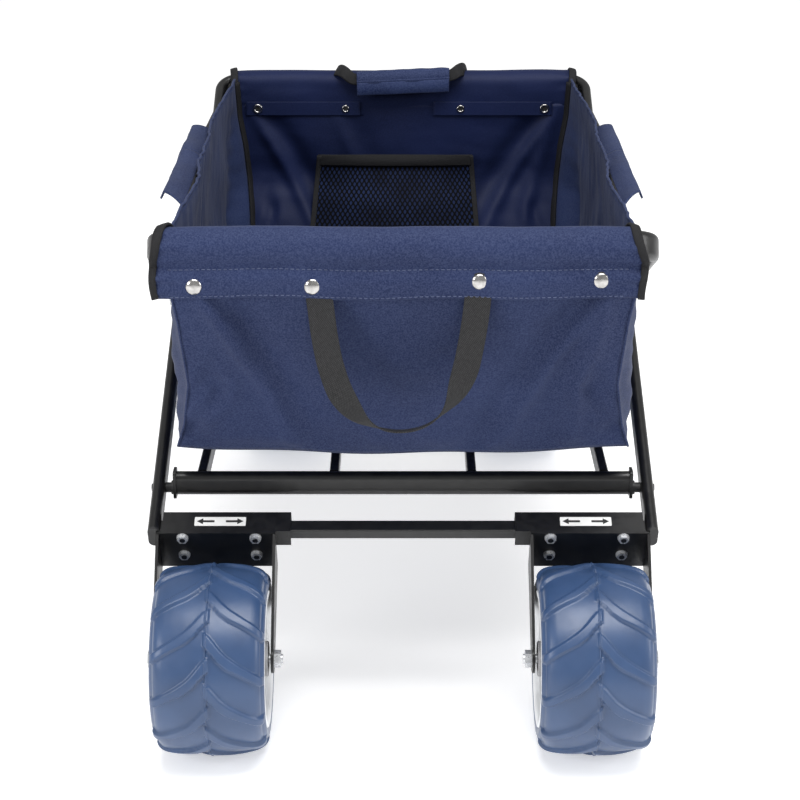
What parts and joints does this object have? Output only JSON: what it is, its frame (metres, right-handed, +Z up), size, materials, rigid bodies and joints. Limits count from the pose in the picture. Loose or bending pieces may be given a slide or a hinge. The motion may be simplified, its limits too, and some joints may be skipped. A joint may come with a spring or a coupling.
{
  "type": "folding beach cart",
  "caption": "Folding beach cart: fabric basket on crossing tube frames, wide plastic wheels on sliding carriages, swivel casters and a telescopic pull handle.",
  "frame": {"origin": "on the floor under the middle of the length and width over the wheels", "axes": "+Z up, +Y towards the pull handle, +X to the right seen from the rear wheels"},
  "size_m": [0.5494, 1.043, 0.5629],
  "materials": {
    "frame_black": "black powder coat, satin",
    "black_plastic": "fine grained",
    "zinc": "bright zinc plate",
    "snap_chrome": "polished",
    "tyre_blue": "semi-gloss moulded",
    "wheel_white": "moulded",
    "nylon_grey": "moulded",
    "marker_white": "printed film with plain arrows",
    "navy_cloth": "coated woven polyester",
    "black_webbing": "ribbed webbing",
    "black_mesh": "knitted mesh"
  },
  "bodies": {
    "frame_pivot": {"frame_pivot_bolts": "zinc", "frame_pivot_spacers": "nylon_grey"},
    "rear_legs": {"rear_leg_tube": "frame_black", "rear_axle_bar": "frame_black", "rear_leg_plugs": "black_plastic"},
    "front_legs": {"front_leg_tube": "frame_black", "front_axle_bar": "frame_black", "front_leg_plugs": "black_plastic", "caster_brackets": "frame_black", "handle_bracket": "frame_black", "handle_bolt": "zinc"},
    "rear_floor": {"rear_floor_crossbar": "frame_black", "rear_floor_bars": "frame_black", "rear_floor_bolts": "zinc"},
    "front_floor": {"front_floor_crossbar": "frame_black", "front_floor_bars": "frame_black", "front_floor_bolts": "zinc"},
    "handle_lower": {"handle_outer_tube": "frame_black"},
    "handle_middle": {"handle_middle_tube": "frame_black"},
    "handle_upper": {"handle_inner_tube": "frame_black", "handle_grip": "black_plastic"},
    "basket_rear": {"basket_rear": "navy_cloth", "rim_bindings_near": "black_webbing", "snaps_near": "snap_chrome", "webbing_loop": "black_webbing", "side_flaps_rear": "navy_cloth"},
    "basket_front": {"basket_front": "navy_cloth", "rim_bindings_far": "black_webbing", "snaps_far": "snap_chrome", "side_flaps_front": "navy_cloth", "mesh_pocket": "black_mesh", "carry_grip": "navy_cloth", "carry_webbing": "black_webbing"},
    "rear_left_carriage": {"rear_left_carriage": "frame_black", "rear_left_fork": "frame_black", "rear_left_fork_nuts": "zinc", "rear_left_marker": "marker_white", "rear_left_axle": "zinc"},
    "rear_left_wheel": {"rear_left_wheel_tyre": "tyre_blue", "rear_left_wheel_rim": "wheel_white", "rear_left_wheel_bushes": "nylon_grey"},
    "front_left_caster": {"front_left_caster_fork": "frame_black", "front_left_axle": "zinc"},
    "front_left_wheel": {"front_left_wheel_tyre": "tyre_blue", "front_left_wheel_rim": "wheel_white", "front_left_wheel_bushes": "nylon_grey"},
    "rear_right_carriage": {"rear_right_carriage": "frame_black", "rear_right_fork": "frame_black", "rear_right_fork_nuts": "zinc", "rear_right_marker": "marker_white", "rear_right_axle": "zinc"},
    "rear_right_wheel": {"rear_right_wheel_tyre": "tyre_blue", "rear_right_wheel_rim": "wheel_white", "rear_right_wheel_bushes": "nylon_grey"},
    "front_right_caster": {"front_right_caster_fork": "frame_black", "front_right_axle": "zinc"},
    "front_right_wheel": {"front_right_wheel_tyre": "tyre_blue", "front_right_wheel_rim": "wheel_white", "front_right_wheel_bushes": "nylon_grey"}
  },
  "joints": [
    {"name": "fold", "type": "hinge", "parent": "frame_pivot", "child": "rear_legs", "pos_m": [0, -0.0185, 0.36241], "axis": [1, 0, 0], "range_deg": [0, 45], "deforming": ["basket_rear", "basket_front", "side_flaps_rear", "side_flaps_front", "rim_bindings_near", "rim_bindings_far"]},
    {"name": "front_legs_fold", "type": "hinge", "parent": "frame_pivot", "child": "front_legs", "pos_m": [0, -0.0185, 0.36241], "axis": [1, 0, 0], "range_deg": [-45, 0]},
    {"name": "rear_floor_fold", "type": "hinge", "parent": "rear_legs", "child": "rear_floor", "pos_m": [0, -0.2885, 0.23624], "axis": [1, 0, 0], "range_deg": [0, 23]},
    {"name": "front_floor_fold", "type": "hinge", "parent": "front_legs", "child": "front_floor", "pos_m": [0, 0.2515, 0.23624], "axis": [1, 0, 0], "range_deg": [-23, 0]},
    {"name": "near_rim_turn", "type": "hinge", "parent": "front_legs", "child": "basket_rear", "pos_m": [0, -0.3985, 0.54], "axis": [1, 0, 0], "range_deg": [0, 45]},
    {"name": "far_rim_turn", "type": "hinge", "parent": "rear_legs", "child": "basket_front", "pos_m": [0, 0.3615, 0.54], "axis": [1, 0, 0], "range_deg": [-45, 0]},
    {"name": "handle_tilt", "type": "hinge", "parent": "front_legs", "child": "handle_lower", "pos_m": [0, 0.3955, 0.236], "axis": [1, 0, 0], "range_deg": [-95, 0]},
    {"name": "handle_stage_1", "type": "slide", "parent": "handle_lower", "child": "handle_middle", "axis": [0, 0, 1], "range_m": [0, 0.16]},
    {"name": "handle_stage_2", "type": "slide", "parent": "handle_middle", "child": "handle_upper", "axis": [0, 0, 1], "range_m": [0, 0.16]},
    {"name": "rear_left_slide", "type": "slide", "parent": "rear_legs", "child": "rear_left_carriage", "axis": [1, 0, 0], "range_m": [0, 0.11]},
    {"name": "rear_left_wheel_spin", "type": "hinge", "parent": "rear_left_carriage", "child": "rear_left_wheel", "pos_m": [-0.1962, -0.4215, 0.1], "axis": [1, 0, 0], "continuous": true},
    {"name": "front_left_swivel", "type": "hinge", "parent": "front_legs", "child": "front_left_caster", "pos_m": [-0.165, 0.4465, 0.22], "axis": [0, 0, 1], "continuous": true},
    {"name": "front_left_wheel_spin", "type": "hinge", "parent": "front_left_caster", "child": "front_left_wheel", "pos_m": [-0.165, 0.4215, 0.1], "axis": [1, 0, 0], "continuous": true},
    {"name": "rear_right_slide", "type": "slide", "parent": "rear_legs", "child": "rear_right_carriage", "axis": [-1, 0, 0], "range_m": [0, 0.11]},
    {"name": "rear_right_wheel_spin", "type": "hinge", "parent": "rear_right_carriage", "child": "rear_right_wheel", "pos_m": [0.1962, -0.4215, 0.1], "axis": [1, 0, 0], "continuous": true},
    {"name": "front_right_swivel", "type": "hinge", "parent": "front_legs", "child": "front_right_caster", "pos_m": [0.165, 0.4465, 0.22], "axis": [0, 0, 1], "continuous": true},
    {"name": "front_right_wheel_spin", "type": "hinge", "parent": "front_right_caster", "child": "front_right_wheel", "pos_m": [0.165, 0.4215, 0.1], "axis": [1, 0, 0], "continuous": true}
  ],
  "couplings": [
    {"joint": "front_legs_fold", "follows": "fold", "ratio": -1},
    {"joint": "rear_floor_fold", "follows": "fold", "ratio": 0.509},
    {"joint": "front_floor_fold", "follows": "fold", "ratio": -0.509},
    {"joint": "near_rim_turn", "follows": "fold", "ratio": 1},
    {"joint": "far_rim_turn", "follows": "fold", "ratio": -1}
  ]
}
